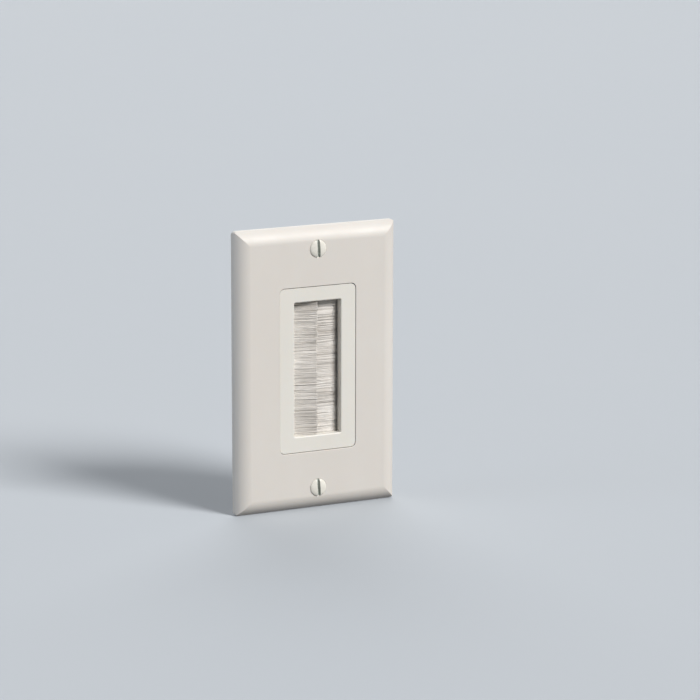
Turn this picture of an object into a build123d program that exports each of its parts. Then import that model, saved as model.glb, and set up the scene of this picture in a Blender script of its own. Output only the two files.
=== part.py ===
from build123d import *
from math import radians, sin, sqrt, tan
import os

# A brush wall plate: a single-gang decorator plate whose insert has a window closed by two strip brushes.
# Millimetres. The front faces -Y, +X is to the right and +Z is up.
# The origin is the plate's centre, on the wall.
# A depth called proud is measured from the wall towards the front, so it is negative inside the wall box.

# Wall plate
plate_width = 69.85
plate_height = 114.3
plate_wall = 2.0
plate_rim = 1.9
plate_corner = 1.6
bevel_radius = 6.4
opening_side_gap = 0.12
opening_end_gap = 0.25
opening_edge = 0.15
collar_wall = 1.4
rib_thickness = 1.2
rib_height = 1.3
rib_pitch = 24.0
rib_rows = 3
boss_wall = 0.95

# Plate screws, 6-32 with slotted oval heads
plate_screw_inset = 8.73
thread_radius = 1.7
head_radius = 3.55
head_angle = 82.0
crown_height = 0.95
slot_width = 1.25
slot_depth = 1.15
slot_run_out = 0.5
plate_screw_length = 12.7
countersink_margin = 0.1
screw_tip = 0.5

# Box screws and the washers that keep them: a row further in than the plate screws
screw_row_gap = 6.75
box_screw_length = 25.4
box_head_height = 1.9
box_head_rim = 0.65
neck_relief = 0.2
neck_play = 0.8
washer_thickness = 0.8
washer_corner = 1.0
washer_gap = 0.55

# Insert frame
window_inset = 14.27
window_width = 20.3
window_corner = 0.5
window_edge = 0.45
window_sill = 0.45
bezel_overhang = 1.35
bezel_end_overhang = 1.25
bezel_step = 0.3
bezel_skin = 1.4
insert_corner = 2.0
insert_edge = 0.12
body_side_wall = 1.0
body_end_wall = 0.65

# Mounting strap
strap_thickness = 1.2
strap_end = 4.78
strap_width = 19.6
strap_corner = 2.0
ring_band = 5.55
ring_end_band = 6.2
ring_corner = 4.0
ear_width = 38.1
ear_height = 8.0
ear_corner = 1.5
notch_width = 1.2
notch_depth = 2.2
slot_play = 0.6
slot_cover = 0.2

# Rear clamp and its screws
clamp_overhang = 2.35
clamp_end_overhang = 2.5
clamp_depth = 5.0
clamp_corner = 3.0
clamp_edge = 0.8
clamp_screw_gap = 15.0
clamp_screw_margin = 2.8
clamp_screw_radius = 1.1
clamp_point_radius = 0.55
clamp_head_radius = 1.9
clamp_head_height = 1.3
clamp_head_rim = 0.65
cross_width = 0.7
cross_length = 2.4
cross_depth = 0.8

# Strip brushes
channel_proud = 0.3
channel_depth = 3.0
channel_width = 3.0
channel_metal = 0.4
channel_crimp = 0.2
channel_bend = 0.7
channel_setback = 0.85
channel_overlap = 0.6
wire_radius = 0.5
wire_wrap = 0.35
wire_end = 0.5
tuft_pitch = 2.0
tuft_wander = 0.27
tuft_root_gap = 0.12
tuft_tip_gap = 0.36
tuft_chamfer = 0.35
tuft_reach_stray = 0.25
tuft_side_stray = 0.12
tuft_beat = 2.1
tuft_mix = 3.7
brush_end_gap = 0.3
swell_share = 0.15
right_reach = 0.6
right_swell_lean = 0.45
right_tip_lean = 0.3
right_thickness = 2.5
left_reach = 0.2
left_swell_lean = 0.15
left_tip_lean = 3.0
left_thickness = 1.9

# Clearances
seat_gap = 0.05
thread_gap = 0.05
bend_gap = 0.1
slide_gap = 0.15
hole_gap = 0.25
part_gap = 0.3
head_gap = 0.45
cover_gap = 0.5

# Heights along the plate, from its end to the window
plate_screw_place = plate_height / 2 - plate_screw_inset
box_screw_place = plate_screw_place - screw_row_gap
window_height = 2 * (box_screw_place - window_inset)
brush_top = window_height / 2 - brush_end_gap
brush_bottom = -window_height / 2 + window_sill + brush_end_gap
channel_length = window_height + 2 * channel_overlap
pocket_length = channel_length + 2 * slide_gap
clamp_screw_end = window_height / 2 + clamp_screw_margin
body_height = 2 * (clamp_screw_end + clamp_screw_radius + thread_gap + body_end_wall)
insert_height = body_height + 2 * bezel_end_overhang
opening_height = insert_height + 2 * opening_end_gap
ring_height = body_height + 2 * part_gap + 2 * ring_end_band
clamp_height = body_height + 2 * clamp_end_overhang
strap_length = 2 * (plate_screw_place + strap_end)

# Widths, from the window outwards
window_half = window_width / 2
channel_mouth = window_half + channel_setback
channel_back = channel_mouth + channel_depth
pocket_inside = window_half - window_corner
pocket_outside = channel_back + slide_gap
body_width = 2 * (pocket_outside + body_side_wall)
insert_width = body_width + 2 * bezel_overhang
opening_width = insert_width + 2 * opening_side_gap
opening_corner = insert_corner + opening_side_gap
ring_width = body_width + 2 * part_gap + 2 * ring_band
clamp_width = body_width + 2 * clamp_overhang
wire_place = channel_back - channel_metal - wire_wrap - wire_radius
root_inside = channel_mouth - bend_gap
root_outside = channel_back - channel_metal - bend_gap
root_half = channel_width / 2 - channel_metal - channel_crimp - bend_gap

# Depths, from the wall to the front: the plate covers the box screws' heads
plate_inside = strap_thickness + box_head_height + cover_gap
plate_proud = plate_inside + plate_wall
plate_back = strap_thickness + part_gap
insert_proud = plate_proud - bezel_step
pocket_depth = channel_proud + channel_width / 2 + slide_gap
clamp_screw_bite = insert_proud - bezel_skin
lip_proud = channel_proud - root_half - slide_gap
channel_rear = channel_proud - channel_width / 2

# The plate's rounded edge: how far its arc runs in from the rim
bevel_drop = plate_proud - plate_rim
bevel_run = sqrt(bevel_drop * (2 * bevel_radius - bevel_drop))

# Screw heads, holes and slots
head_slope = tan(radians(head_angle / 2))
countersink_radius = head_radius + countersink_margin
head_proud = plate_proud - countersink_margin / head_slope + seat_gap
plate_hole_radius = thread_radius + hole_gap
boss_radius = plate_hole_radius + boss_wall
box_head_radius = screw_row_gap - boss_radius - head_gap
box_neck_radius = thread_radius - neck_relief
box_neck_length = strap_thickness + washer_thickness + neck_play
box_slot_length = 2 * (box_head_radius - slot_cover)
box_slot_width = 2 * (box_neck_radius + slot_play)
washer_side = 2 * (screw_row_gap - thread_radius - washer_gap)
clamp_hole_radius = clamp_screw_radius + part_gap
clamp_screw_places = [
    (side * clamp_screw_gap / 2, end * clamp_screw_end)
    for end in (1, -1)
    for side in (-1, 1)
]

os.makedirs("parts", exist_ok=True)


def section_plane(x=0.0, z=0.0):
    """A level section seen from below: its x is +X and its y points to the front."""
    return Plane(origin=(x, 0, z), x_dir=(1, 0, 0), z_dir=(0, 0, -1))


def upright_plane():
    """A section through the middle: its x is +Z and its y points to the front."""
    return Plane(origin=(0, 0, 0), x_dir=(0, 0, 1), z_dir=(1, 0, 0))


def face_plane(proud):
    """A plane parallel to the wall, looked at from the front."""
    return Plane.XZ.offset(proud)


def side_plane(x):
    """A plane square to X: its x points to the front and its y is +Z."""
    return Plane(origin=(x, 0, 0), x_dir=(0, -1, 0), z_dir=(-1, 0, 0))


def keep(part, name):
    """Labels a finished piece and writes its file."""
    part.label = name
    export_step(part, f"parts/{name}.step")


def bevelled_section(plane, half, inset):
    """The plate's section before its sides are cut: a flat face and a quarter arc that runs past the rim."""
    blend = half - bevel_run
    radius = bevel_radius - inset
    top = plate_proud - inset
    foot = plate_proud - bevel_radius
    with BuildSketch(plane) as section:
        with BuildLine():
            Line((0, top), (blend, top))
            RadiusArc((blend, top), (blend + radius, foot), radius)
            Polyline((blend + radius, foot), (blend + radius, -plate_proud), (0, -plate_proud), (0, top))
        make_face()
        mirror(about=Plane.YZ)
    return section.sketch


def cushion(inset):
    """The plate's outer form, or its inner one when it is set in by the wall: the edges meet in mitres."""
    across = bevelled_section(section_plane(), plate_width / 2, inset)
    upright = bevelled_section(upright_plane(), plate_height / 2, inset)
    with BuildPart() as form:
        with BuildSketch(face_plane(0)):
            RectangleRounded(plate_width - 2 * inset, plate_height - 2 * inset, plate_corner)
        extrude(amount=plate_proud)
        extrude(across, amount=plate_height, both=True, mode=Mode.INTERSECT)
        extrude(upright, amount=plate_width, both=True, mode=Mode.INTERSECT)
    return form.part


def pockets(inside):
    """The two upright pockets that the strip brushes lie in, from the given distance outwards."""
    with BuildSketch(face_plane(0)) as pair:
        with GridLocations(pocket_outside + inside, 0, 2, 1):
            Rectangle(pocket_outside - inside, pocket_length)
    return pair.sketch


# Wall plate: a shell, with a collar round its opening, ribs beside it and a boss behind each screw hole
inner_form = cushion(plate_wall)
outer_form = cushion(0)
with BuildPart() as hollow:
    add(inner_form)
    with BuildSketch(face_plane(plate_back)):
        RectangleRounded(
            opening_width + 2 * collar_wall,
            opening_height + 2 * collar_wall,
            opening_corner + collar_wall,
        )
        with Locations((0, plate_screw_place), (0, -plate_screw_place)):
            Circle(boss_radius)
    extrude(amount=plate_proud, mode=Mode.SUBTRACT)
    with BuildSketch(face_plane(plate_inside - rib_height)):
        with GridLocations(0, rib_pitch, 1, rib_rows):
            Rectangle(plate_width, rib_thickness)
        with GridLocations(rib_pitch, 0, 2, 1):
            Rectangle(rib_thickness, plate_height)
    extrude(amount=plate_proud, mode=Mode.SUBTRACT)

with BuildPart() as wall_plate:
    add(outer_form)
    add(hollow.part, mode=Mode.SUBTRACT)
    with BuildSketch(face_plane(0)):
        RectangleRounded(opening_width, opening_height, opening_corner)
    extrude(amount=plate_proud, mode=Mode.SUBTRACT)
    face = wall_plate.faces().sort_by(Axis.Y)[0]
    fillet(face.inner_wires().sort_by(SortBy.LENGTH)[-1].edges(), radius=opening_edge)
    with Locations(face_plane(plate_proud)):
        with Locations((0, plate_screw_place), (0, -plate_screw_place)):
            CounterSinkHole(plate_hole_radius, countersink_radius, counter_sink_angle=head_angle)
keep(wall_plate.part, "wall_plate")


# Plate screws: slotted oval heads in the plate's countersinks, threads in the strap's tapped holes
for place, name in ((plate_screw_place, "upper"), (-plate_screw_place, "lower")):
    cone_foot = head_proud - (head_radius - thread_radius) / head_slope
    tip = head_proud - plate_screw_length
    top = head_proud + crown_height
    with BuildPart() as plate_screw:
        with BuildSketch(section_plane(z=place)):
            with BuildLine():
                TangentArc((0, top), (head_radius, head_proud), tangent=(1, 0))
                Polyline(
                    (head_radius, head_proud),
                    (thread_radius, cone_foot),
                    (thread_radius, tip + screw_tip),
                    (thread_radius - screw_tip, tip),
                    (0, tip),
                    (0, top),
                )
            make_face()
        revolve(axis=Axis((0, 0, place), (0, -1, 0)))
        with BuildSketch(face_plane(top)):
            with Locations((0, place)):
                Rectangle(slot_width, 2 * (head_radius + slot_run_out))
        extrude(amount=-slot_depth, mode=Mode.SUBTRACT)
    keep(plate_screw.part, f"plate_screw_{name}")


# Insert frame: the bezel in the plate's opening, its body through the strap, and pockets for the channels
with BuildPart() as insert_frame:
    with BuildSketch(face_plane(strap_thickness)):
        RectangleRounded(insert_width, insert_height, insert_corner)
    extrude(amount=insert_proud - strap_thickness)
    with BuildSketch(face_plane(0)):
        Rectangle(body_width, body_height)
    extrude(amount=strap_thickness)
    with BuildSketch(face_plane(0)):
        with Locations((0, window_sill / 2)):
            RectangleRounded(window_width, window_height - window_sill, window_corner)
    extrude(amount=insert_proud, mode=Mode.SUBTRACT)
    extrude(pockets(pocket_inside), amount=pocket_depth, mode=Mode.SUBTRACT)
    with BuildSketch(face_plane(0)):
        with Locations(*clamp_screw_places):
            Circle(clamp_screw_radius + thread_gap)
    extrude(amount=clamp_screw_bite + seat_gap, mode=Mode.SUBTRACT)
    face = insert_frame.faces().sort_by(Axis.Y)[0]
    fillet(face.outer_wire().edges(), radius=insert_edge)
    face = insert_frame.faces().sort_by(Axis.Y)[0]
    fillet(face.inner_wires()[0].edges(), radius=window_edge)
keep(insert_frame.part, "insert_frame")


# Mounting strap: a stamped ring round the insert's body, with tabs and ears above and below
with BuildPart() as mounting_strap:
    with BuildSketch(face_plane(0)):
        RectangleRounded(ring_width, ring_height, ring_corner)
        RectangleRounded(strap_width, strap_length, strap_corner)
        with GridLocations(0, strap_length - ear_height, 1, 2):
            RectangleRounded(ear_width, ear_height, ear_corner)
        with GridLocations(strap_width + notch_width, strap_length, 2, 2):
            Rectangle(notch_width, 2 * notch_depth, mode=Mode.SUBTRACT)
        Rectangle(body_width + 2 * part_gap, body_height + 2 * part_gap, mode=Mode.SUBTRACT)
        with GridLocations(0, 2 * box_screw_place, 1, 2):
            SlotOverall(box_slot_length, box_slot_width, mode=Mode.SUBTRACT)
        with GridLocations(0, 2 * plate_screw_place, 1, 2):
            Circle(thread_radius + thread_gap, mode=Mode.SUBTRACT)
    extrude(amount=strap_thickness)
keep(mounting_strap.part, "mounting_strap")


# Rear clamp: a moulded frame that holds the strap and the channels against the insert frame
with BuildPart() as rear_clamp:
    with BuildSketch(face_plane(-clamp_depth)):
        RectangleRounded(clamp_width, clamp_height, clamp_corner)
        RectangleRounded(window_width, window_height, window_corner, mode=Mode.SUBTRACT)
    extrude(amount=clamp_depth)
    fillet(rear_clamp.faces().sort_by(Axis.Y)[-1].edges(), radius=clamp_edge)
    extrude(pockets(pocket_inside), amount=lip_proud, mode=Mode.SUBTRACT)
    extrude(pockets(channel_mouth - slide_gap), amount=channel_rear - slide_gap, mode=Mode.SUBTRACT)
    with BuildSketch(face_plane(0)):
        with Locations(*clamp_screw_places):
            Circle(clamp_hole_radius)
    extrude(amount=-clamp_depth, mode=Mode.SUBTRACT)
keep(rear_clamp.part, "rear_clamp")


# Clamp screws: small pan heads with a cross recess, driven from behind
for number, (x, z) in enumerate(clamp_screw_places, start=1):
    head_back = -clamp_depth - clamp_head_height
    head_edge = -clamp_depth - clamp_head_rim
    with BuildPart() as clamp_screw:
        with BuildSketch(section_plane(x, z)):
            with BuildLine():
                Polyline(
                    (0, clamp_screw_bite),
                    (clamp_point_radius, clamp_screw_bite),
                    (clamp_screw_radius, clamp_screw_bite - clamp_screw_radius),
                    (clamp_screw_radius, -clamp_depth),
                    (clamp_head_radius, -clamp_depth),
                    (clamp_head_radius, head_edge),
                )
                TangentArc((0, head_back), (clamp_head_radius, head_edge), tangent=(1, 0))
                Line((0, head_back), (0, clamp_screw_bite))
            make_face()
        revolve(axis=Axis((x, 0, z), (0, -1, 0)))
        with BuildSketch(face_plane(head_back)):
            with Locations((x, z)):
                Rectangle(cross_width, cross_length)
                Rectangle(cross_length, cross_width)
        extrude(amount=cross_depth, mode=Mode.SUBTRACT)
    keep(clamp_screw.part, f"clamp_screw_{number}")


# Strip brushes: each is a folded channel, a core wire and the filaments that are folded round the wire
def channel_section(side):
    """A channel crimped towards its mouth, which faces the window."""
    back, mouth = side * channel_back, side * channel_mouth
    inner_back = side * (channel_back - channel_metal)
    half = channel_width / 2
    inner_half = half - channel_metal
    with BuildSketch(section_plane()) as section:
        with BuildLine():
            Polyline(
                (mouth, channel_proud + half - channel_crimp),
                (back, channel_proud + half),
                (back, channel_proud - half),
                (mouth, channel_proud - half + channel_crimp),
                close=True,
            )
        make_face()
        fillet(section.vertices().sort_by_distance((0, 0))[2:], radius=channel_bend)
        with BuildLine():
            Polyline(
                (mouth, channel_proud + inner_half - channel_crimp),
                (inner_back, channel_proud + inner_half),
                (inner_back, channel_proud - inner_half),
                (mouth, channel_proud - inner_half + channel_crimp),
                close=True,
            )
        make_face(mode=Mode.SUBTRACT)
    return section.sketch


def tuft_ends(count, phase):
    """The heights at which the filaments part into tufts, a little unevenly."""
    pitch = (brush_top - brush_bottom) / count
    ends = [brush_bottom]
    for n in range(1, count):
        ends.append(brush_bottom + n * pitch + tuft_wander * sin(tuft_beat * n + phase))
    return ends + [brush_top]


def tuft(side, low, high, reach, swell_lean, tip_lean, thickness, stray):
    """One tuft: narrow at the channel's mouth, swollen a little way out and parted at its tips."""
    middle = (low + high) / 2
    root = side * root_inside
    tip = -side * (reach + tuft_reach_stray * stray)
    swell = root + swell_share * (tip - root)
    root_width = high - low - tuft_root_gap
    tip_width = high - low - tuft_tip_gap
    stations = (
        (root, channel_proud, 2 * root_half, root_width, middle),
        (swell, channel_proud + swell_lean, thickness, root_width, middle),
        (tip, channel_proud + tip_lean, thickness, tip_width, middle + tuft_side_stray * stray),
    )
    with BuildPart() as one:
        for x, proud, thick, width, height in stations:
            with BuildSketch(side_plane(x)) as station:
                with Locations((proud, height)):
                    Rectangle(thick, width)
                chamfer(station.vertices(), length=tuft_chamfer)
        loft(ruled=True)
    return one.part


brushes = (
    (-1, "left", left_reach, left_swell_lean, left_tip_lean, left_thickness),
    (1, "right", right_reach, right_swell_lean, right_tip_lean, right_thickness),
)
for side, name, reach, swell_lean, tip_lean, thickness in brushes:
    channel_profile = channel_section(side)
    with BuildPart() as brush_channel:
        extrude(channel_profile, amount=channel_length / 2, both=True)
    keep(brush_channel.part, f"brush_channel_{name}")

    with BuildPart() as brush_wire:
        with BuildSketch(section_plane()):
            with Locations((side * wire_place, channel_proud)):
                Circle(wire_radius)
        extrude(amount=channel_length / 2 - wire_end, both=True)
    keep(brush_wire.part, f"brush_wire_{name}")

    ends = tuft_ends(round((brush_top - brush_bottom) / tuft_pitch), side)
    tufts = [
        tuft(side, low, high, reach, swell_lean, tip_lean, thickness, sin(tuft_mix * n + side))
        for n, (low, high) in enumerate(zip(ends[:-1], ends[1:]))
    ]
    with BuildPart() as bristles:
        with BuildSketch(section_plane(z=brush_top)):
            with Locations((side * (root_inside + root_outside) / 2, channel_proud)):
                Rectangle(root_outside - root_inside, 2 * root_half)
            with Locations((side * wire_place, channel_proud)):
                Circle(wire_radius + seat_gap, mode=Mode.SUBTRACT)
        extrude(amount=brush_top - brush_bottom)
        add(tufts)
    keep(bristles.part, f"bristles_{name}")


# Box screws: pan heads on the strap, a plain neck in the slot and washer, then the thread for the box
for place, name in ((box_screw_place, "upper"), (-box_screw_place, "lower")):
    head_front = strap_thickness + box_head_height
    head_edge = strap_thickness + box_head_rim
    neck_end = strap_thickness - box_neck_length
    tip = strap_thickness - box_screw_length
    with BuildPart() as box_screw:
        with BuildSketch(section_plane(z=place)):
            with BuildLine():
                TangentArc((0, head_front), (box_head_radius, head_edge), tangent=(1, 0))
                Polyline(
                    (box_head_radius, head_edge),
                    (box_head_radius, strap_thickness),
                    (box_neck_radius, strap_thickness),
                    (box_neck_radius, neck_end),
                    (thread_radius, neck_end - (thread_radius - box_neck_radius)),
                    (thread_radius, tip + screw_tip),
                    (thread_radius - screw_tip, tip),
                    (0, tip),
                    (0, head_front),
                )
            make_face()
        revolve(axis=Axis((0, 0, place), (0, -1, 0)))
        with BuildSketch(face_plane(head_front)):
            with Locations((0, place)):
                Rectangle(2 * (box_head_radius + slot_run_out), slot_width)
        extrude(amount=-slot_depth, mode=Mode.SUBTRACT)
    keep(box_screw.part, f"box_screw_{name}")

    with BuildPart() as screw_washer:
        with BuildSketch(face_plane(0)):
            with Locations((0, place)):
                RectangleRounded(washer_side, washer_side, washer_corner)
                Circle(box_neck_radius + bend_gap, mode=Mode.SUBTRACT)
        extrude(amount=-washer_thickness)
    keep(screw_washer.part, f"screw_washer_{name}")
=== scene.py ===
import math
import random

import bmesh
import bpy
from bpy.props import FloatProperty, FloatVectorProperty, IntProperty, PointerProperty
from mathutils import Matrix, Vector


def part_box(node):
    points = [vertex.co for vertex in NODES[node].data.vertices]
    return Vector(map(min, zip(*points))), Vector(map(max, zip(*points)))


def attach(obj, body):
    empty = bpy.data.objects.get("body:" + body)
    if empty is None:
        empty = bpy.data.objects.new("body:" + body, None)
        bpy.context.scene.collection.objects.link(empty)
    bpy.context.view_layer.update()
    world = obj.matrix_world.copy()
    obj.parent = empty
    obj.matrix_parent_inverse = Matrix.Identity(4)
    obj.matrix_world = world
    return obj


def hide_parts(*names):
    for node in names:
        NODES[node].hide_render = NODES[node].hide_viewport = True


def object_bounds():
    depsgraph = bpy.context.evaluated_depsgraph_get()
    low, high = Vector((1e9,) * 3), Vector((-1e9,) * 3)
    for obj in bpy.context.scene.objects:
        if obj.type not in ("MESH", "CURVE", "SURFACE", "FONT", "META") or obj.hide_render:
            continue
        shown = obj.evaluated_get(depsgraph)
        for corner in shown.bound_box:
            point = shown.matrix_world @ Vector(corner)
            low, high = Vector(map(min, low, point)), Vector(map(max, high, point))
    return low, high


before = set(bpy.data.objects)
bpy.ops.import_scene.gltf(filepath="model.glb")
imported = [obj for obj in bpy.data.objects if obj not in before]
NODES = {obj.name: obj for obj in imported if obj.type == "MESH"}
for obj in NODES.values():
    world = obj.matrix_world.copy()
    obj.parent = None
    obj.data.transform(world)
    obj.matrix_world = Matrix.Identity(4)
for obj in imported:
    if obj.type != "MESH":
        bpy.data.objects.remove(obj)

bl_info = {
    "name": "Brush Wall Plate",
    "version": (1, 0, 0),
    "blender": (4, 5, 0),
    "location": "3D View > Sidebar > Brush Plate",
    "description": "Gives the packed brush wall plate its filaments, threads, finishes and studio",
    "category": "Object",
}

CAD_LOW, CAD_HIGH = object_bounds()
MM = 0.001

# Machine screws: 6-32 threads, oval heads in the plate's countersinks and pan heads on the strap
THREAD_RADIUS = 1.7 * MM
THREAD_CREST = 0.16
THREAD_SLACK = 0.01 * MM
TIP_BEVEL = 0.5 * MM
PLATE_HEAD_RADIUS = 3.55 * MM
PLATE_HEAD_CROWN = 0.95 * MM
PLATE_HEAD_ANGLE = math.radians(41)
PLATE_THREAD_GAP = 0.5 * MM
BOX_HEAD_RADIUS = 3.4 * MM
BOX_HEAD_RIM = 0.63 * MM
BOX_NECK_RADIUS = 1.5 * MM
BOX_NECK_END = 1.6 * MM
CROWN_FULLNESS = 2.3
RIM_EASE_IN = 0.05 * MM
RIM_EASE_BACK = 0.08 * MM
SLOT_HALF_WIDTH = 0.625 * MM
SLOT_DEPTH = 1.15 * MM
SLOT_LIP = 0.07 * MM
SLOT_SLACK = 0.002 * MM
SMOOTH_ANGLE = math.radians(35)

# Strip brushes: where the filaments leave the channel, swell out and wrap the wire
MOUTH_PLACE = 10.9 * MM
MOUTH_HALF = 0.8 * MM
SWELL_SHARE = 0.15
BRUSH_OVERHANG = 0.2 * MM
WRAP_GAP = 0.06 * MM
WRAP_DEPTH = 0.34 * MM
MID_SWELL = 0.06 * MM
TIP_TAPER = 0.72

# How far the filaments stray from their tuft, and how many of them are wild ones that stray more
START_STRAY = 0.12 * MM
HEIGHT_STRAY = 0.03 * MM
TIP_STRAY = 0.05 * MM
REACH_STRAY = 0.07 * MM
LEAN_STRAY = 0.04 * MM
WILD_SHARE = 0.04
WILD_SPREAD = 2.2
# The filaments' middle tone and each one's random stray from it; each tuft's tone around it is painted
# light and shade
TONE_MIDDLE = 0.86
TONE_STRAY = 0.06

# The studio's own sizes: the floor in metres, the camera's sensor in millimetres
FLOOR_SIZE = 6.0
SENSOR_WIDTH = 36


def painted(red, green, blue):
    """A linear colour from the 0 to 255 values of a colour picker."""
    parts = (red / 255, green / 255, blue / 255)
    return tuple(p / 12.92 if p <= 0.04045 else ((p + 0.055) / 1.055) ** 2.4 for p in parts)


def colour_property(name, description, red, green, blue):
    """A colour that the user may change."""
    return FloatVectorProperty(
        name=name,
        description=description,
        subtype="COLOR",
        size=3,
        min=0,
        max=1,
        default=painted(red, green, blue),
    )


def length_property(name, description, default):
    """A length that the user may change, in metres."""
    return FloatProperty(
        name=name,
        description=description,
        subtype="DISTANCE",
        unit="LENGTH",
        precision=5,
        default=default,
    )


def angle_property(name, description, degrees):
    """An angle that the user may change, given in degrees."""
    return FloatProperty(
        name=name,
        description=description,
        subtype="ANGLE",
        unit="ROTATION",
        default=math.radians(degrees),
    )


def strength_property(name, description, default):
    """The strength of a light, which the user may change."""
    return FloatProperty(name=name, description=description, min=0, default=default)


class MouldingSettings(bpy.types.PropertyGroup):
    """Colours of the moulded pieces."""

    plate: colour_property("Plate", "Colour of the wall plate's plastic", 222, 217, 210)
    insert: colour_property("Insert", "Colour of the insert frame's plastic", 230, 227, 219)
    clamp: colour_property("Clamp", "Colour of the rear clamp's plastic", 205, 202, 194)
    grain: length_property("Grain", "Size of the fine ripple in the moulded skin", 0.9 * MM)


class MetalSettings(bpy.types.PropertyGroup):
    """Colours of the metal pieces and of the washers."""

    strap: colour_property("Strap", "Colour of the strap's zinc plating", 206, 209, 211)
    channel: colour_property("Channel", "Colour of the galvanised strip", 188, 192, 196)
    wire: colour_property("Wire", "Colour of the drawn steel wire", 166, 166, 168)
    screw: colour_property("Screws", "Colour of the plated screws", 200, 198, 190)
    washer: colour_property("Washers", "Colour of the pressed fibre", 150, 108, 68)


class ScrewSettings(bpy.types.PropertyGroup):
    """Sizes and colours of the machine screws."""

    pitch: length_property("Pitch", "Distance between two turns of the thread", 0.794 * MM)
    depth: length_property("Depth", "Depth of the thread", 0.42 * MM)
    paint: colour_property("Paint", "Colour of the plate screws' enamel", 233, 230, 220)
    # Darker and greener than the paint: worn paint together with painted shade of the slot's recess
    slot: colour_property("Slot", "Colour of the worn slot in the painted heads", 206, 210, 201)
    upper_turn: angle_property("Upper turn", "How far the upper plate screw's slot leans to the left", 2.8)
    lower_turn: angle_property("Lower turn", "How far the lower plate screw's slot leans to the left", 3.8)
    steps: IntProperty(name="Steps", description="Faces round a screw", min=12, default=40)


class BrushSettings(bpy.types.PropertyGroup):
    """Sizes and colours of the filaments."""

    diameter: length_property("Diameter", "Diameter of one filament", 0.155 * MM)
    pitch: length_property("Tuft pitch", "Distance between two tufts", 2.0 * MM)
    filaments: IntProperty(name="Filaments", description="Folded filaments in a tuft", min=1, default=78)
    colour: colour_property("Colour", "Colour of the nylon", 253, 248, 241)
    # The darkest filaments' colour, which paints the brush's shade as well as their own tone
    shaded: colour_property("Shaded", "Colour of the dullest filaments", 206, 199, 190)
    seed: IntProperty(name="Seed", description="Start of the random draws", default=2268)


class StageSettings(bpy.types.PropertyGroup):
    """The studio: camera, floor and lights."""

    azimuth: angle_property("Azimuth", "How far the camera stands to the right of the front", -25.925)
    elevation: angle_property("Elevation", "How far the camera stands above the front", 12.319)
    roll: angle_property("Roll", "How far the camera is turned about its view", 0.108)
    distance: length_property("Distance", "From the camera to the point it aims at", 1236.17 * MM)
    aim_right: length_property("Aim right", "From the plate's middle to the aim, to the right", 15.043 * MM)
    aim_up: length_property("Aim up", "From the plate's middle to the aim, upwards", 6.453 * MM)
    lens: FloatProperty(name="Lens", description="Focal length in millimetres", default=159.93)
    floor: colour_property("Floor", "Colour of the floor", 186, 191, 196)
    sky: colour_property("Surroundings", "Colour of the light from all round", 226, 230, 236)
    sky_strength: strength_property("Sky", "Strength of the light from all round", 0.24)
    key_strength: strength_property("Key", "Strength of the main light", 3.4)
    top_strength: strength_property("Top", "Strength of the light from above", 0.1)
    fill_strength: strength_property("Fill", "Strength of the light from the left", 1.15)
    rear_strength: strength_property("Rear", "Strength of the light from behind", 1.4)


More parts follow.
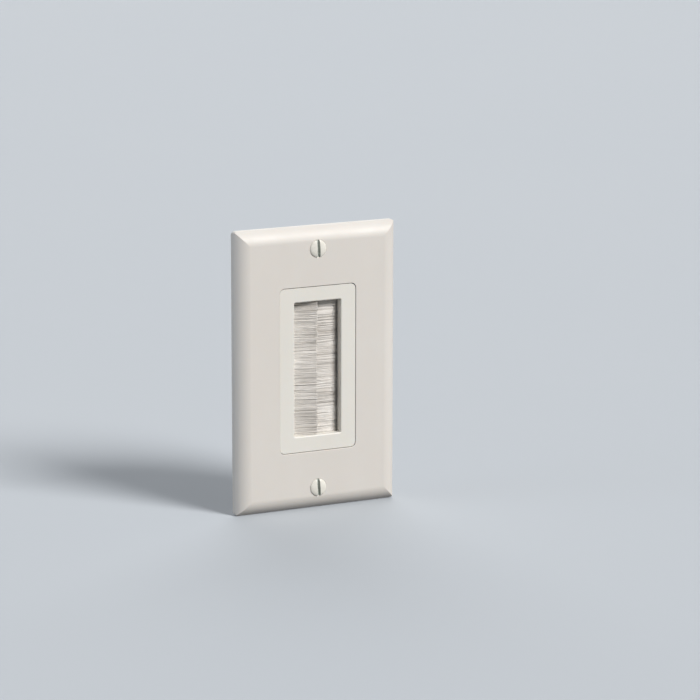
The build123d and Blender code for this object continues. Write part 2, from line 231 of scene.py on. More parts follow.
class Surface:
    """A material in the making. Each method adds nodes and returns the socket with the result."""

    # How alike the flat and the rounded normal are where edge wear starts, and where it is full
    WEAR_START = 0.995
    WEAR_FULL = 0.80

    def __init__(self, name):
        self.material = bpy.data.materials.new(name)
        self.material.use_nodes = True
        self.tree = self.material.node_tree
        self.shader = self.tree.nodes["Principled BSDF"]

    def feed(self, socket, value):
        """Links a socket to another one, or sets it to a plain value."""
        if isinstance(value, bpy.types.NodeSocket):
            self.tree.links.new(value, socket)
        elif socket.type == "RGBA":
            socket.default_value = (*value[:3], 1)
        else:
            socket.default_value = value

    def node(self, kind, inputs, **settings):
        """Adds a node with its settings and its inputs, which are given by name or number."""
        node = self.tree.nodes.new(kind)
        for key, value in settings.items():
            setattr(node, key, value)
        for key, value in inputs.items():
            self.feed(node.inputs[key], value)
        return node

    def shade(self, **inputs):
        """Feeds the shader, whose sockets are named with _ for a space."""
        for key, value in inputs.items():
            self.feed(self.shader.inputs[key.replace("_", " ")], value)
        return self.material

    def point(self, stretch=(1, 1, 1), centre=(0, 0, 0)):
        """The place on the piece, measured from a centre and stretched along each axis."""
        place = self.tree.nodes.new("ShaderNodeTexCoord").outputs["Object"]
        moved = self.node("ShaderNodeVectorMath", {0: place, 1: centre}, operation="SUBTRACT")
        return self.node("ShaderNodeMapping", {"Vector": moved.outputs[0], "Scale": stretch}).outputs[0]

    def clouds(self, size, point=None, detail=3.0, roughness=0.55):
        """Soft noise from 0 to 1, whose features have the given size."""
        inputs = {
            "Vector": point or self.point(),
            "Scale": 1 / size,
            "Detail": detail,
            "Roughness": roughness,
        }
        return self.node("ShaderNodeTexNoise", inputs).outputs[0]

    def cells(self, size, output="Distance", point=None):
        """A pattern of cells of the given size: the distance to each middle, or a colour for each cell."""
        inputs = {"Vector": point or self.point(), "Scale": 1 / size}
        return self.node("ShaderNodeTexVoronoi", inputs).outputs[output]

    def ranged(self, value, start, end, low, high):
        """A value from start to end, spread from low to high and held there."""
        return self.node("ShaderNodeMapRange", {0: value, 1: start, 2: end, 3: low, 4: high}).outputs[0]

    def math(self, operation, first, second=0.0):
        """One sum on two values."""
        return self.node("ShaderNodeMath", {0: first, 1: second}, operation=operation).outputs[0]

    def mixed(self, share, first, second):
        """Two colours mixed by a share."""
        return self.node("ShaderNodeMix", {0: share, 6: first, 7: second}, data_type="RGBA").outputs[2]

    def rounded(self, radius):
        """The normal with each sharp edge rounded."""
        return self.node("ShaderNodeBevel", {"Radius": radius}, samples=6).outputs[0]

    def edges(self, normal):
        """From 0 on flat faces to 1 on the edges that the rounded normal turns."""
        flat = self.tree.nodes.new("ShaderNodeNewGeometry").outputs["Normal"]
        alike = self.node("ShaderNodeVectorMath", {0: normal, 1: flat}, operation="DOT_PRODUCT")
        return self.ranged(alike.outputs["Value"], self.WEAR_START, self.WEAR_FULL, 0.0, 1.0)

    def relief(self, normal, *layers):
        """The normal with layers of bumps, each a height and the depth in metres that it spans."""
        for height, depth in layers:
            inputs = {"Height": height, "Distance": depth, "Strength": 1.0}
            if normal is not None:
                inputs["Normal"] = normal
            normal = self.node("ShaderNodeBump", inputs).outputs[0]
        return normal


def tinted(colour, factor, warmth=0.0):
    """A colour made lighter or darker, and warmer or cooler."""
    red, green, blue = colour[:3]
    return (
        min(1.0, red * factor * (1 + warmth)),
        min(1.0, green * factor),
        min(1.0, blue * factor * (1 - warmth)),
    )


def moulded_finish(name, colour, grain, sheen_roughness, ripple, edge_radius):
    """Injection-moulded plastic: faint flow clouds, a rippled skin, polished edges and rare specks."""
    s = Surface(name)
    normal = s.rounded(edge_radius)
    worn = s.edges(normal)
    flow = s.clouds(24 * MM, s.point((1.0, 1.0, 0.45)), detail=2.0)
    cloudy = s.ranged(s.clouds(3.5 * MM), 0.35, 0.7, 0.0, 0.35)
    drift = s.ranged(flow, 0.3, 0.7, 0.0, 1.0)
    body = s.mixed(drift, tinted(colour, 0.972, 0.006), tinted(colour, 1.012, -0.004))
    body = s.mixed(cloudy, body, tinted(colour, 0.975, 0.012))
    speck = s.ranged(s.cells(2.6 * MM), 0.035, 0.015, 0.0, 0.5)
    body = s.mixed(speck, body, tinted(colour, 0.62, 0.05))
    body = s.mixed(s.math("MULTIPLY", worn, 0.4), body, tinted(colour, 1.05, 0.01))
    smear = s.ranged(s.clouds(9 * MM, detail=4.0), 0.35, 0.7, -0.05, 0.06)
    skin = s.ranged(s.clouds(grain), 0.3, 0.7, -0.03, 0.03)
    roughness = s.math("ADD", s.math("ADD", smear, skin), sheen_roughness)
    roughness = s.math("SUBTRACT", roughness, s.math("MULTIPLY", worn, 0.08))
    peel = s.clouds(grain, detail=2.0)
    fine = s.clouds(grain / 5, detail=2.0)
    relief = s.relief(normal, (peel, ripple), (fine, ripple / 4))
    s.shade(Subsurface_Weight=0.12, Subsurface_Radius=(1.0, 0.72, 0.5), Subsurface_Scale=0.5 * MM)
    return s.shade(Base_Color=body, Roughness=roughness, Normal=relief)


def enamel_finish(name, colour, centre):
    """Enamel on a turned screw head: faint lathe rings under the paint, thin and darker on the edges."""
    s = Surface(name)
    normal = s.rounded(0.10 * MM)
    worn = s.edges(normal)
    from_axis = s.point((1, 0, 1), centre)
    distance = s.node("ShaderNodeVectorMath", {0: from_axis}, operation="LENGTH").outputs["Value"]
    ring = s.math("SINE", s.math("MULTIPLY", distance, 2 * math.pi / (0.22 * MM)))
    ring = s.ranged(ring, -1.0, 1.0, 0.0, 1.0)
    mottle = s.ranged(s.clouds(1.3 * MM, detail=4.0), 0.35, 0.68, 0.0, 1.0)
    body = s.mixed(mottle, tinted(colour, 0.95, 0.01), tinted(colour, 1.02))
    chipped = s.math("MULTIPLY", worn, s.ranged(s.clouds(0.5 * MM), 0.48, 0.6, 0.0, 0.8))
    body = s.mixed(chipped, body, tinted(colour, 0.55, 0.02))
    roughness = s.ranged(s.clouds(0.8 * MM), 0.3, 0.7, 0.24, 0.38)
    relief = s.relief(normal, (ring, 0.003 * MM), (s.clouds(0.6 * MM), 0.012 * MM))
    return s.shade(Base_Color=body, Roughness=roughness, Normal=relief)


def worn_shaded_slot_finish(name, colour):
    """The floor and walls of a driven slot: thin paint and bare streaks, darker and greener than the head,
    partly dirt and partly painted shade of the recess.
    """
    s = Surface(name)
    streak = s.ranged(s.clouds(0.35 * MM, s.point((1, 1, 0.3)), detail=4.0), 0.35, 0.65, 0.0, 1.0)
    body = s.mixed(streak, tinted(colour, 0.78, -0.01), tinted(colour, 1.1))
    # Painted shade: patches darken the slot further, standing for dirt and for the recess's shade
    dirt_and_shade = s.ranged(s.clouds(0.9 * MM), 0.5, 0.65, 0.0, 0.5)
    body = s.mixed(dirt_and_shade, body, tinted(colour, 0.5, 0.03))
    roughness = s.ranged(streak, 0.0, 1.0, 0.62, 0.4)
    return s.shade(Base_Color=body, Roughness=roughness, Normal=s.relief(None, (streak, 0.02 * MM)))


def plated_finish(name, colour, grain, stretch, gloss, edge_radius, depth):
    """Plated steel: grain along one axis, soft stains, scratches and brighter worn edges."""
    s = Surface(name)
    normal = s.rounded(edge_radius)
    worn = s.edges(normal)
    lines = s.clouds(grain, s.point(stretch), detail=4.0, roughness=0.65)
    stain = s.ranged(s.clouds(7 * MM, detail=5.0), 0.38, 0.66, 0.0, 1.0)
    body = s.mixed(stain, tinted(colour, 0.78, 0.02), tinted(colour, 1.0))
    body = s.mixed(s.ranged(lines, 0.35, 0.65, 0.0, 0.35), body, tinted(colour, 0.62, -0.01))
    scratch = s.ranged(s.cells(5 * MM, point=s.point((1.0, 1.0, 0.09))), 0.02, 0.008, 0.0, 1.0)
    body = s.mixed(s.math("MULTIPLY", scratch, 0.6), body, tinted(colour, 1.15))
    body = s.mixed(s.math("MULTIPLY", worn, 0.6), body, tinted(colour, 1.18, 0.01))
    grained = s.ranged(lines, 0.3, 0.7, -0.07, 0.09)
    dulled = s.ranged(stain, 0.0, 1.0, gloss + 0.14, gloss)
    roughness = s.math("ADD", grained, dulled)
    relief = s.relief(normal, (lines, depth), (s.clouds(0.5 * MM), depth / 2))
    return s.shade(Base_Color=body, Roughness=roughness, Normal=relief, Metallic=1.0)


def galvanised_finish(name, colour):
    """Hot-dipped strip: flat crystals, each with its own tone, and a dull white bloom."""
    s = Surface(name)
    normal = s.rounded(0.12 * MM)
    crystal = s.node("ShaderNodeSeparateColor", {0: s.cells(2.2 * MM, "Color")}).outputs[0]
    bloom = s.ranged(s.clouds(1.6 * MM, detail=5.0), 0.42, 0.7, 0.0, 0.7)
    body = s.mixed(crystal, tinted(colour, 0.72), tinted(colour, 1.05))
    body = s.mixed(bloom, body, tinted(colour, 1.0, 0.01))
    body = s.mixed(s.math("MULTIPLY", s.edges(normal), 0.5), body, tinted(colour, 0.7))
    polished = s.ranged(crystal, 0.0, 1.0, 0.24, 0.42)
    dulled = s.ranged(bloom, 0.0, 0.7, 0.0, 0.2)
    roughness = s.math("ADD", polished, dulled)
    relief = s.relief(normal, (s.clouds(0.4 * MM), 0.006 * MM))
    return s.shade(Base_Color=body, Roughness=roughness, Normal=relief, Metallic=1.0)


def fibre_finish(name, colour):
    """Pressed fibre board: matted strands, dark flecks and furred, darker cut edges."""
    s = Surface(name)
    normal = s.rounded(0.1 * MM)
    strands = s.clouds(0.35 * MM, s.point((1.0, 1.0, 0.25)), detail=5.0, roughness=0.7)
    crossed = s.clouds(0.4 * MM, s.point((0.25, 1.0, 1.0)), detail=5.0, roughness=0.7)
    matted = s.ranged(strands, 0.35, 0.65, 0.0, 1.0)
    body = s.mixed(matted, tinted(colour, 0.78), tinted(colour, 1.15, 0.02))
    body = s.mixed(s.ranged(crossed, 0.4, 0.7, 0.0, 0.6), body, tinted(colour, 0.9, -0.03))
    fleck = s.ranged(s.cells(0.7 * MM), 0.11, 0.05, 0.0, 0.8)
    body = s.mixed(fleck, body, tinted(colour, 0.35))
    body = s.mixed(s.math("MULTIPLY", s.edges(normal), 0.6), body, tinted(colour, 0.6))
    roughness = s.ranged(strands, 0.3, 0.7, 0.78, 0.92)
    relief = s.relief(normal, (strands, 0.03 * MM), (crossed, 0.03 * MM))
    return s.shade(Base_Color=body, Roughness=roughness, Normal=relief)


def filament_finish(name, colour, shaded):
    """Nylon filaments with a soft gloss: each has a tone of its own, and the tufts carry painted light and
    shade in slow waves.
    """
    s = Surface(name)
    tone = s.node("ShaderNodeAttribute", {}, attribute_name="filament_shade_and_tone").outputs["Fac"]
    # Painted light and shade: tufts lighter or darker in slow waves, mixed with each filament's own tone
    body = s.mixed(tone, shaded, colour)
    blotch = s.ranged(s.clouds(2.4 * MM, s.point((0.35, 1.0, 1.0)), detail=3.0), 0.35, 0.68, 0.0, 0.35)
    body = s.mixed(blotch, body, tinted(shaded, 0.97, 0.012))
    roughness = s.ranged(s.clouds(0.9 * MM, s.point((0.2, 1.0, 1.0))), 0.3, 0.7, 0.34, 0.52)
    relief = s.relief(None, (s.clouds(0.08 * MM, s.point((0.15, 1.0, 1.0))), 0.004 * MM))
    s.shade(Subsurface_Weight=0.25, Subsurface_Radius=(1.0, 0.9, 0.8), Subsurface_Scale=0.35 * MM)
    return s.shade(Base_Color=body, Roughness=roughness, Normal=relief)


def floor_finish(name, colour):
    """A plain matt studio floor."""
    s = Surface(name)
    tone = s.ranged(s.clouds(180 * MM, detail=4.0), 0.3, 0.7, 0.0, 1.0)
    body = s.mixed(tone, tinted(colour, 0.985), tinted(colour, 1.01))
    return s.shade(Base_Color=body, Roughness=s.ranged(tone, 0.0, 1.0, 0.72, 0.8))


def dress(node, material):
    """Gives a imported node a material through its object's own slots."""
    for slot in NODES[node].material_slots:
        slot.link = "OBJECT"
        slot.material = material


def piece_of(name, mesh, materials, node):
    """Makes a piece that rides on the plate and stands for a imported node."""
    piece = bpy.data.objects.new(name, mesh)
    bpy.context.scene.collection.objects.link(piece)
    for material in materials:
        mesh.materials.append(material)
    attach(piece, "root")
    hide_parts(node)
    return piece


def turned(outline, centre, steps):
    """A closed turned form about an axis along Y. outline holds (radius, y), from front to rear."""
    form = bmesh.new()
    angles = [2 * math.pi * n / steps for n in range(steps)]
    rings = []
    for radius, y in outline:
        places = [(centre.x + radius * math.cos(a), y, centre.z + radius * math.sin(a)) for a in angles]
        # On the axis all these places are one, whose point then stands for the whole ring
        ring = [form.verts.new(place) for place in dict.fromkeys(places)]
        rings.append(ring * (steps // len(ring)))
    for ahead, behind in zip(rings, rings[1:]):
        for n in range(steps):
            corners = (ahead[n], behind[n], behind[n - 1], ahead[n - 1])
            form.faces.new(tuple(dict.fromkeys(corners)))
    bmesh.ops.recalc_face_normals(form, faces=form.faces)
    return form


def cut_thread(form, centre, radius, start, end, pitch, depth):
    """Turns the plain shank between two places into a thread that runs out at both ends."""
    for vert in form.verts:
        offset = Vector((vert.co.x - centre.x, 0, vert.co.z - centre.z))
        if abs(offset.length - radius) > THREAD_SLACK or not start <= vert.co.y <= end:
            continue
        turn = math.atan2(offset.z, offset.x) / (2 * math.pi)
        phase = abs(((vert.co.y / pitch + turn) % 1) - 0.5) * 2
        groove = max(0.0, min(1.0, (1 - phase - THREAD_CREST) / (1 - 2 * THREAD_CREST)))
        fade = min(1.0, (vert.co.y - start) / pitch, (end - vert.co.y) / pitch)
        offset.length = radius - depth * groove * fade
        vert.co.x = centre.x + offset.x
        vert.co.z = centre.z + offset.z


def wall_rim(rim, centre, across, place):
    """The edges of a cut's rim that lie in one wall of the slot."""
    return [
        edge
        for edge in rim
        if all(abs((vert.co - centre).dot(across) - place) < 2 * SLOT_SLACK for vert in edge.verts)
    ]


def floor_joint(form, wall, floor):
    """A new edge between the two ends of a wall's rim, where the wall meets the slot's floor."""
    low = [vert for edge in wall for vert in edge.verts if abs(vert.co.y - floor) < 2 * SLOT_SLACK]
    return form.edges.new(tuple(dict.fromkeys(low)))


def cut_slot(form, centre, across, floor):
    """Cuts a straight slot into a screw head. across points from wall to wall."""
    geometry = form.verts[:] + form.edges[:] + form.faces[:]
    cuts = (
        (centre + across * SLOT_HALF_WIDTH, across),
        (centre - across * SLOT_HALF_WIDTH, across),
        (Vector((0, floor, 0)), Vector((0, 1, 0))),
    )
    for point, normal in cuts:
        made = bmesh.ops.bisect_plane(form, geom=geometry, plane_co=point, plane_no=normal, dist=SLOT_SLACK)
        geometry = made["geom"]
    inside = [
        face
        for face in form.faces
        if abs((face.calc_center_median() - centre).dot(across)) < SLOT_HALF_WIDTH
        and face.calc_center_median().y < floor
    ]
    bmesh.ops.delete(form, geom=inside, context="FACES")
    rim = [edge for edge in form.edges if edge.is_boundary]
    walls = [wall_rim(rim, centre, across, side * SLOT_HALF_WIDTH) for side in (-1, 1)]
    joints = [floor_joint(form, wall, floor) for wall in walls]
    lips = [edge for wall in walls for edge in wall]
    floor_rim = [edge for edge in rim if edge not in lips]
    made = []
    for joint, wall in zip(joints, walls):
        made += bmesh.ops.contextual_create(form, geom=wall + [joint])["faces"]
    made += bmesh.ops.contextual_create(form, geom=floor_rim + joints)["faces"]
    for face in made:
        face.material_index = 1
    bmesh.ops.bevel(
        form,
        geom=lips,
        offset=SLOT_LIP,
        offset_type="OFFSET",
        affect="EDGES",
        segments=2,
        profile=0.5,
        material=-1,
        clamp_overlap=True,
    )
    bmesh.ops.recalc_face_normals(form, faces=form.faces)


def crown(top, radius, rim, count):
    """Points from the middle of a domed head to its rim."""
    angles = [math.pi / 2 * n / count for n in range(count + 1)]
    power = 2 / CROWN_FULLNESS
    return [(radius * math.sin(a) ** power, rim - (rim - top) * math.cos(a) ** power) for a in angles]


def shank(radius, start, end, pitch):
    """Points along a shank, close enough together to carry a thread."""
    count = max(2, round((end - start) / (pitch / 10)))
    return [(radius, start + (end - start) * n / count) for n in range(count + 1)]


def screw_mesh(name, outline, thread, across, centre, settings):
    """A machine screw: a turned form, its thread and its slot. thread holds the thread's two ends."""
    form = turned(outline, centre, settings.steps)
    cut_thread(form, centre, THREAD_RADIUS, *thread, settings.pitch, settings.depth)
    cut_slot(form, centre, across, outline[0][1] + SLOT_DEPTH)
    for face in form.faces:
        face.smooth = True
    for edge in form.edges:
        edge.smooth = edge.is_manifold and edge.calc_face_angle(0) < SMOOTH_ANGLE
    mesh = bpy.data.meshes.new(name)
    form.to_mesh(mesh)
    form.free()
    return mesh


class BRUSHPLATE_OT_wall_plate(bpy.types.Operator):
    """Finishes the wall plate"""

    bl_idname = "brushplate.wall_plate"
    bl_label = "Wall plate"

    def execute(self, context):
        settings = context.scene.brushplate_moulding
        material = moulded_finish(
            "plate_plastic_skin",
            settings.plate,
            settings.grain,
            sheen_roughness=0.5,
            ripple=0.006 * MM,
            edge_radius=0.12 * MM,
        )
        dress("wall_plate", material)
        return {"FINISHED"}


class BRUSHPLATE_OT_insert_frame(bpy.types.Operator):
    """Finishes the insert frame"""

    bl_idname = "brushplate.insert_frame"
    bl_label = "Insert frame"

    def execute(self, context):
        settings = context.scene.brushplate_moulding
        material = moulded_finish(
            "insert_plastic_skin",
            settings.insert,
            settings.grain,
            sheen_roughness=0.42,
            ripple=0.004 * MM,
            edge_radius=0.10 * MM,
        )
        dress("insert_frame", material)
        return {"FINISHED"}


class BRUSHPLATE_OT_rear_clamp(bpy.types.Operator):
    """Finishes the rear clamp"""

    bl_idname = "brushplate.rear_clamp"
    bl_label = "Rear clamp"

    def execute(self, context):
        settings = context.scene.brushplate_moulding
        material = moulded_finish(
            "clamp_plastic_skin",
            settings.clamp,
            grain=0.35 * MM,
            sheen_roughness=0.56,
            ripple=0.012 * MM,
            edge_radius=0.15 * MM,
        )
        dress("rear_clamp", material)
        return {"FINISHED"}


class BRUSHPLATE_OT_mounting_strap(bpy.types.Operator):
    """Finishes the mounting strap"""

    bl_idname = "brushplate.mounting_strap"
    bl_label = "Mounting strap"

    def execute(self, context):
        colour = context.scene.brushplate_metal.strap
        material = plated_finish(
            "strap_zinc",
            colour,
            grain=0.5 * MM,
            stretch=(1, 1, 0.03),
            gloss=0.30,
            edge_radius=0.12 * MM,
            depth=0.004 * MM,
        )
        dress("mounting_strap", material)
        return {"FINISHED"}


class BRUSHPLATE_OT_clamp_screws(bpy.types.Operator):
    """Finishes the four clamp screws"""

    bl_idname = "brushplate.clamp_screws"
    bl_label = "Clamp screws"

    def execute(self, context):
        colour = context.scene.brushplate_metal.screw
        material = plated_finish(
            "clamp_screw_zinc",
            colour,
            grain=0.25 * MM,
            stretch=(1, 1, 1),
            gloss=0.26,
            edge_radius=0.08 * MM,
            depth=0.003 * MM,
        )
        for number in range(1, 5):
            dress(f"clamp_screw_{number}", material)
        return {"FINISHED"}


class BRUSHPLATE_OT_brush_channels(bpy.types.Operator):
    """Finishes the folded channels and their core wires"""

    bl_idname = "brushplate.brush_channels"
    bl_label = "Brush channels"

    def execute(self, context):
        settings = context.scene.brushplate_metal
        strip = galvanised_finish("channel_galvanised", settings.channel)
        wire = plated_finish(
            "wire_drawn",
            settings.wire,
            grain=0.12 * MM,
            stretch=(1, 1, 0.02),
            gloss=0.28,
            edge_radius=0.05 * MM,
            depth=0.003 * MM,
        )
        for side in ("left", "right"):
            dress(f"brush_channel_{side}", strip)
            dress(f"brush_wire_{side}", wire)
        return {"FINISHED"}


class BRUSHPLATE_OT_washers(bpy.types.Operator):
    """Finishes the washers that keep the box screws"""

    bl_idname = "brushplate.washers"
    bl_label = "Washers"

    def execute(self, context):
        material = fibre_finish("washer_pressed_fibre", context.scene.brushplate_metal.washer)
        for place in ("upper", "lower"):
            dress(f"screw_washer_{place}", material)
        return {"FINISHED"}


class BRUSHPLATE_OT_plate_screws(bpy.types.Operator):
    """Turns, threads, slots and paints the two plate screws"""

    bl_idname = "brushplate.plate_screws"
    bl_label = "Plate screws"

    def execute(self, context):
        settings = context.scene.brushplate_screws
        slot_paint_and_shade = worn_shaded_slot_finish("plate_screw_slot", settings.slot)
        for place, turn in (("upper", settings.upper_turn), ("lower", settings.lower_turn)):
            node = f"plate_screw_{place}"
            low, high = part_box(node)
            centre = Vector((0, 0, (low.z + high.z) / 2))
            rim = low.y + PLATE_HEAD_CROWN
            neck = rim + (PLATE_HEAD_RADIUS - THREAD_RADIUS) / math.tan(PLATE_HEAD_ANGLE)
            end = high.y - TIP_BEVEL
            outline = crown(low.y, PLATE_HEAD_RADIUS, rim, 12)
            outline += [(PLATE_HEAD_RADIUS - RIM_EASE_IN, rim + RIM_EASE_BACK)]
            outline += shank(THREAD_RADIUS, neck, end, settings.pitch)
            outline += [(THREAD_RADIUS - TIP_BEVEL, high.y), (0, high.y)]
            thread = (neck + PLATE_THREAD_GAP, end + settings.pitch / 2)
            across = Vector((math.cos(turn), 0, math.sin(turn)))
            mesh = screw_mesh(f"{node}_mesh", outline, thread, across, centre, settings)
            paint = enamel_finish(f"{node}_enamel", settings.paint, centre)
            piece_of(f"{node}_turned", mesh, (paint, slot_paint_and_shade), node)
        return {"FINISHED"}


class BRUSHPLATE_OT_box_screws(bpy.types.Operator):
    """Turns, threads and slots the two long box screws"""

    bl_idname = "brushplate.box_screws"
    bl_label = "Box screws"

    def execute(self, context):
        settings = context.scene.brushplate_screws
        colour = context.scene.brushplate_metal.screw
        plating = plated_finish(
            "box_screw_zinc",
            colour,
            grain=0.3 * MM,
            stretch=(1, 0.15, 1),
            gloss=0.27,
            edge_radius=0.06 * MM,
            depth=0.003 * MM,
        )
        strap_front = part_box("mounting_strap")[0].y
        for place in ("upper", "lower"):
            node = f"box_screw_{place}"
            low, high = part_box(node)
            centre = Vector((0, 0, (low.z + high.z) / 2))
            start = BOX_NECK_END + THREAD_RADIUS - BOX_NECK_RADIUS
            end = high.y - TIP_BEVEL
            outline = crown(low.y, BOX_HEAD_RADIUS, strap_front - BOX_HEAD_RIM, 10)
            outline += [(BOX_HEAD_RADIUS, strap_front), (BOX_NECK_RADIUS, strap_front)]
            outline += [(BOX_NECK_RADIUS, BOX_NECK_END)]
            outline += shank(THREAD_RADIUS, start, end, settings.pitch)
            outline += [(THREAD_RADIUS - TIP_BEVEL, high.y), (0, high.y)]
            thread = (BOX_NECK_END, end + settings.pitch / 2)
            mesh = screw_mesh(f"{node}_mesh", outline, thread, Vector((0, 0, 1)), centre, settings)
            piece_of(f"{node}_turned", mesh, (plating, plating), node)
        return {"FINISHED"}


def tuft_borders(bottom, top, pitch, draw):
    """The heights at which the filaments part, unevenly."""
    count = round((top - bottom) / pitch)
    step = (top - bottom) / count
    inner = [bottom + step * (n + draw.uniform(-0.3, 0.3)) for n in range(1, count)]
    return [bottom] + inner + [top]


def tuft_habits(borders, draw):
    """How each tuft lies: how it draws together and strays up, out and forward, and its tone, whose slow
    waves are painted light and shade.
    """
    habits = []
    tone = forward = 0.0
    for low, high in zip(borders, borders[1:]):
        # Painted light and shade: the tone wanders slowly from tuft to tuft, like light on the brush's
        # waves
        tone = 0.7 * tone + draw.uniform(-0.28, 0.22)
        forward = 0.6 * forward + draw.gauss(0, 0.1 * MM)
        habits.append(
            {
                "low": low,
                "high": high,
                "squeeze": draw.uniform(-0.02, 0.12),
                "gather": draw.uniform(0.2, 0.45),
                "stray": draw.gauss(0, 0.07 * MM),
                "bow": draw.gauss(0, 0.04 * MM),
                "reach": draw.gauss(0, 0.10 * MM),
                "forward": forward,
                "tone": tone,
            }
        )
    return habits


def leg_points(side, start, brush, habit, depth, facing, draw):
    """One leg of a folded filament, from the mouth to its tip. facing is 1 before the wire, else -1."""
    middle = (habit["low"] + habit["high"]) / 2
    offset = start - middle
    wild = WILD_SPREAD if draw.random() < WILD_SHARE else 1.0
    root_height = middle + offset * (1 - habit["gather"])
    swell_height = start + draw.gauss(0, HEIGHT_STRAY)
    tip_height = start - offset * habit["squeeze"] + habit["stray"] + draw.gauss(0, TIP_STRAY) * wild
    mid_height = (swell_height + tip_height) / 2 + habit["bow"] + draw.gauss(0, HEIGHT_STRAY) * wild
    tip_x = brush["tip"] + side * (habit["reach"] + abs(draw.gauss(0, REACH_STRAY)))
    swell_x = brush["mouth"] + (brush["tip"] - brush["mouth"]) * SWELL_SHARE
    mid_x = swell_x + (tip_x - swell_x) * 0.5
    loose = draw.gauss(0, LEAN_STRAY) * wild
    swell = brush["swell"] + facing * depth * brush["half"]
    tip = brush["lean"] + facing * depth * brush["half"] + habit["forward"] + loose
    mid = swell + (tip - swell) * 0.5 + facing * MID_SWELL + loose * 0.5
    mouth = brush["proud"] + facing * depth * MOUTH_HALF
    return [
        (brush["mouth"], -mouth, root_height),
        (swell_x, -swell, swell_height),
        (mid_x, -mid, mid_height),
        (tip_x, -tip, tip_height),
    ]


def folded_filament(side, start, brush, front, rear, draw):
    """The whole route of a filament: from one tip, round the wire at its fold, to the other tip."""
    depth = draw.random() ** 0.8
    wrap = brush["wire_radius"] + WRAP_GAP + depth * WRAP_DEPTH
    ahead = leg_points(side, start, brush, front, depth, 1, draw)
    behind = leg_points(side, start, brush, rear, depth, -1, draw)
    fold = [
        (brush["wire"], -brush["proud"] - wrap, ahead[0][2]),
        (brush["wire"] + side * wrap, -brush["proud"], (ahead[0][2] + behind[0][2]) / 2),
        (brush["wire"], -brush["proud"] + wrap, behind[0][2]),
    ]
    return ahead[::-1] + fold + behind


def habit_at(habits, height):
    """The tuft that a height belongs to."""
    for habit in habits:
        if height <= habit["high"]:
            return habit
    return habits[-1]


def filament_mesh(name, routes, shade_and_tones, diameter):
    """A mesh of thin tubes along the routes, with each tube's tone and painted shade in an attribute."""
    curve = bpy.data.curves.new(name, "CURVE")
    curve.dimensions = "3D"
    curve.bevel_depth = diameter / 2
    curve.bevel_resolution = 0
    curve.use_fill_caps = True
    for route in routes:
        spline = curve.splines.new("POLY")
        spline.points.add(len(route) - 1)
        spline.points.foreach_set("co", [value for point in route for value in (*point, 1.0)])
        spline.points[0].radius = spline.points[-1].radius = TIP_TAPER
    holder = bpy.data.objects.new(name, curve)
    mesh = bpy.data.meshes.new_from_object(holder)
    bpy.data.objects.remove(holder)
    bpy.data.curves.remove(curve)
    each = len(mesh.vertices) // len(routes)
    values = [tone for tone in shade_and_tones for _ in range(each)]
    mesh.attributes.new("filament_shade_and_tone", "FLOAT", "POINT").data.foreach_set("value", values)
    form = bmesh.new()
    form.from_mesh(mesh)
    bmesh.ops.recalc_face_normals(form, faces=form.faces)
    for face in form.faces:
        face.smooth = len(face.verts) == 4
    form.to_mesh(mesh)
    form.free()
    return mesh


class BRUSHPLATE_OT_bristles(bpy.types.Operator):
    """Lays the filaments of both strip brushes, folded round their wires"""

    bl_idname = "brushplate.bristles"
    bl_label = "Bristles"

    def execute(self, context):
        settings = context.scene.brushplate_brush
        material = filament_finish("bristle_nylon_strands", settings.colour, settings.shaded)
        forms = (
            ("left", -1, {"swell": 0.55 * MM, "lean": 3.3 * MM, "half": 0.95 * MM, "tip": 0.3 * MM}),
            ("right", 1, {"swell": 0.75 * MM, "lean": 0.6 * MM, "half": 1.25 * MM, "tip": -1.3 * MM}),
        )
        for name, side, form in forms:
            draw = random.Random(settings.seed + side)
            node = f"bristles_{name}"
            low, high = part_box(node)
            wire_low, wire_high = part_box(f"brush_wire_{name}")
            brush = {
                "tip": form["tip"],
                "mouth": side * MOUTH_PLACE,
                "wire": (wire_low.x + wire_high.x) / 2,
                "wire_radius": (wire_high.x - wire_low.x) / 2,
                "proud": -(wire_low.y + wire_high.y) / 2,
                "swell": form["swell"],
                "lean": form["lean"],
                "half": form["half"] - settings.diameter / 2,
            }
            bottom = low.z - BRUSH_OVERHANG
            front = tuft_habits(tuft_borders(bottom, high.z, settings.pitch, draw), draw)
            rear = tuft_habits(tuft_borders(bottom, high.z, settings.pitch, draw), draw)
            routes = []
            shade_and_tones = []
            for habit in front:
                for _ in range(settings.filaments):
                    start = draw.uniform(habit["low"], habit["high"]) + draw.gauss(0, START_STRAY)
                    routes.append(folded_filament(side, start, brush, habit, habit_at(rear, start), draw))
                    # Each filament's tone: its tuft's painted light and shade plus its own random tone
                    tone = TONE_MIDDLE + habit["tone"] + draw.gauss(0, TONE_STRAY)
                    shade_and_tones.append(min(1.0, max(0.0, tone)))
            mesh = filament_mesh(f"{node}_mesh", routes, shade_and_tones, settings.diameter)
            piece_of(f"{node}_filaments", mesh, (material,), node)
        return {"FINISHED"}


def add_sun(name, direction, strength, softness, colour):
    """A broad light that comes from a direction. softness is how wide it looks, in degrees."""
    data = bpy.data.lights.new(name, "SUN")
    data.energy = strength
    data.color = colour
    data.angle = math.radians(softness)
    light = bpy.data.objects.new(name, data)
    light.location = direction
    light.rotation_mode = "QUATERNION"
    light.rotation_quaternion = Vector(direction).to_track_quat("Z", "Y")
    bpy.context.scene.collection.objects.link(light)


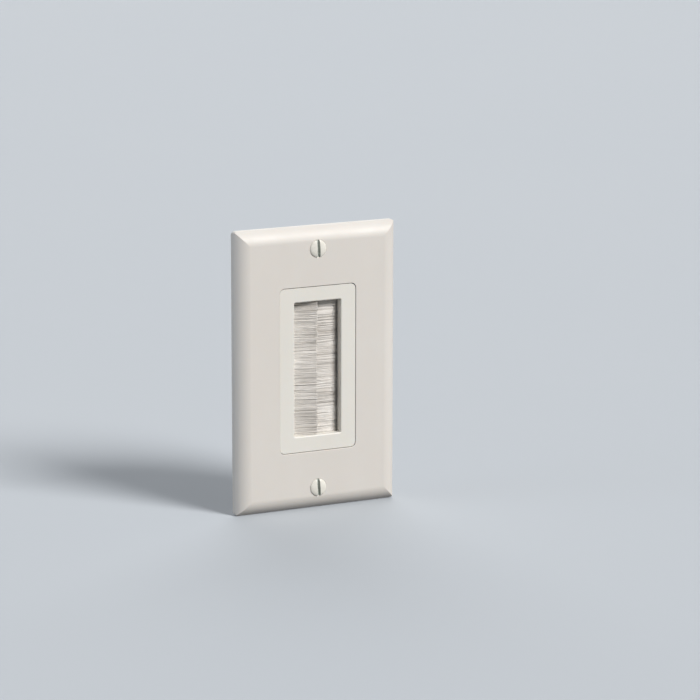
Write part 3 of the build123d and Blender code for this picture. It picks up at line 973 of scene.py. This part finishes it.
class BRUSHPLATE_OT_stage(bpy.types.Operator):
    """Sets the floor, the lights and the camera"""

    bl_idname = "brushplate.stage"
    bl_label = "Studio"

    def execute(self, context):
        scene = context.scene
        settings = scene.brushplate_stage
        scene.view_settings.view_transform = "Standard"

        floor_form = bmesh.new()
        bmesh.ops.create_grid(floor_form, x_segments=2, y_segments=2, size=FLOOR_SIZE)
        bmesh.ops.translate(floor_form, verts=floor_form.verts, vec=(0, 0, CAD_LOW.z))
        mesh = bpy.data.meshes.new("floor")
        floor_form.to_mesh(mesh)
        floor_form.free()
        floor = bpy.data.objects.new("floor", mesh)
        mesh.materials.append(floor_finish("floor_matt", settings.floor))
        # The floor catches shadows, but its bounced light stays off the plate
        floor.visible_diffuse = False
        scene.collection.objects.link(floor)

        world = bpy.data.worlds.new("surroundings")
        world.use_nodes = True
        background = world.node_tree.nodes["Background"]
        background.inputs["Color"].default_value = (*settings.sky, 1)
        background.inputs["Strength"].default_value = settings.sky_strength
        scene.world = world

        add_sun("key_light", (0.56, -1.0, 0.9), settings.key_strength, 24, (1.0, 0.99, 0.98))
        add_sun("top_light", (0.1, -0.35, 1.0), settings.top_strength, 50, (1.0, 1.0, 1.0))
        add_sun("fill_light", (-1.0, 0.08, 0.1), settings.fill_strength, 30, (0.86, 0.95, 1.06))
        add_sun("rear_light", (0.5, 1.0, 0.45), settings.rear_strength, 60, (0.97, 0.985, 1.0))

        turn, lift = settings.azimuth, settings.elevation
        back = Vector((math.sin(turn) * math.cos(lift), -math.cos(turn) * math.cos(lift), math.sin(lift)))
        right = Vector((0, 0, 1)).cross(back).normalized()
        up = back.cross(right)
        rolled_right = right * math.cos(settings.roll) + up * math.sin(settings.roll)
        rolled_up = up * math.cos(settings.roll) - right * math.sin(settings.roll)
        camera_data = bpy.data.cameras.new("photo_camera")
        camera_data.sensor_width = SENSOR_WIDTH
        camera_data.lens = settings.lens
        camera = bpy.data.objects.new("photo_camera", camera_data)
        camera.rotation_mode = "QUATERNION"
        camera.rotation_quaternion = Matrix((rolled_right, rolled_up, back)).transposed().to_quaternion()
        aim = rolled_right * settings.aim_right + rolled_up * settings.aim_up
        camera.location = aim + back * settings.distance
        scene.collection.objects.link(camera)
        scene.camera = camera
        return {"FINISHED"}


STEPS = (
    BRUSHPLATE_OT_wall_plate,
    BRUSHPLATE_OT_insert_frame,
    BRUSHPLATE_OT_plate_screws,
    BRUSHPLATE_OT_bristles,
    BRUSHPLATE_OT_brush_channels,
    BRUSHPLATE_OT_mounting_strap,
    BRUSHPLATE_OT_rear_clamp,
    BRUSHPLATE_OT_clamp_screws,
    BRUSHPLATE_OT_box_screws,
    BRUSHPLATE_OT_washers,
    BRUSHPLATE_OT_stage,
)
GROUPS = (
    ("brushplate_moulding", MouldingSettings),
    ("brushplate_metal", MetalSettings),
    ("brushplate_screws", ScrewSettings),
    ("brushplate_brush", BrushSettings),
    ("brushplate_stage", StageSettings),
)


class BRUSHPLATE_PT_sidebar(bpy.types.Panel):
    """Lists the pieces in the order in which they are made"""

    bl_label = "Brush wall plate"
    bl_idname = "BRUSHPLATE_PT_sidebar"
    bl_space_type = "VIEW_3D"
    bl_region_type = "UI"
    bl_category = "Brush Plate"

    def draw(self, context):
        for step in STEPS:
            self.layout.operator(step.bl_idname)
        for name, group in GROUPS:
            box = self.layout.box()
            settings = getattr(context.scene, name)
            for key in group.__annotations__:
                box.prop(settings, key)


def register():
    """Registers the settings, the operators and the panel."""
    for name, group in GROUPS:
        bpy.utils.register_class(group)
        setattr(bpy.types.Scene, name, PointerProperty(type=group))
    for step in STEPS:
        bpy.utils.register_class(step)
    bpy.utils.register_class(BRUSHPLATE_PT_sidebar)


def unregister():
    """Takes away what register added."""
    bpy.utils.unregister_class(BRUSHPLATE_PT_sidebar)
    for step in reversed(STEPS):
        bpy.utils.unregister_class(step)
    for name, group in reversed(GROUPS):
        delattr(bpy.types.Scene, name)
        bpy.utils.unregister_class(group)


def main():
    """Makes every piece and the stage."""
    register()
    for step in STEPS:
        family, action = step.bl_idname.split(".")
        getattr(getattr(bpy.ops, family), action)()


if __name__ == "__main__":
    main()
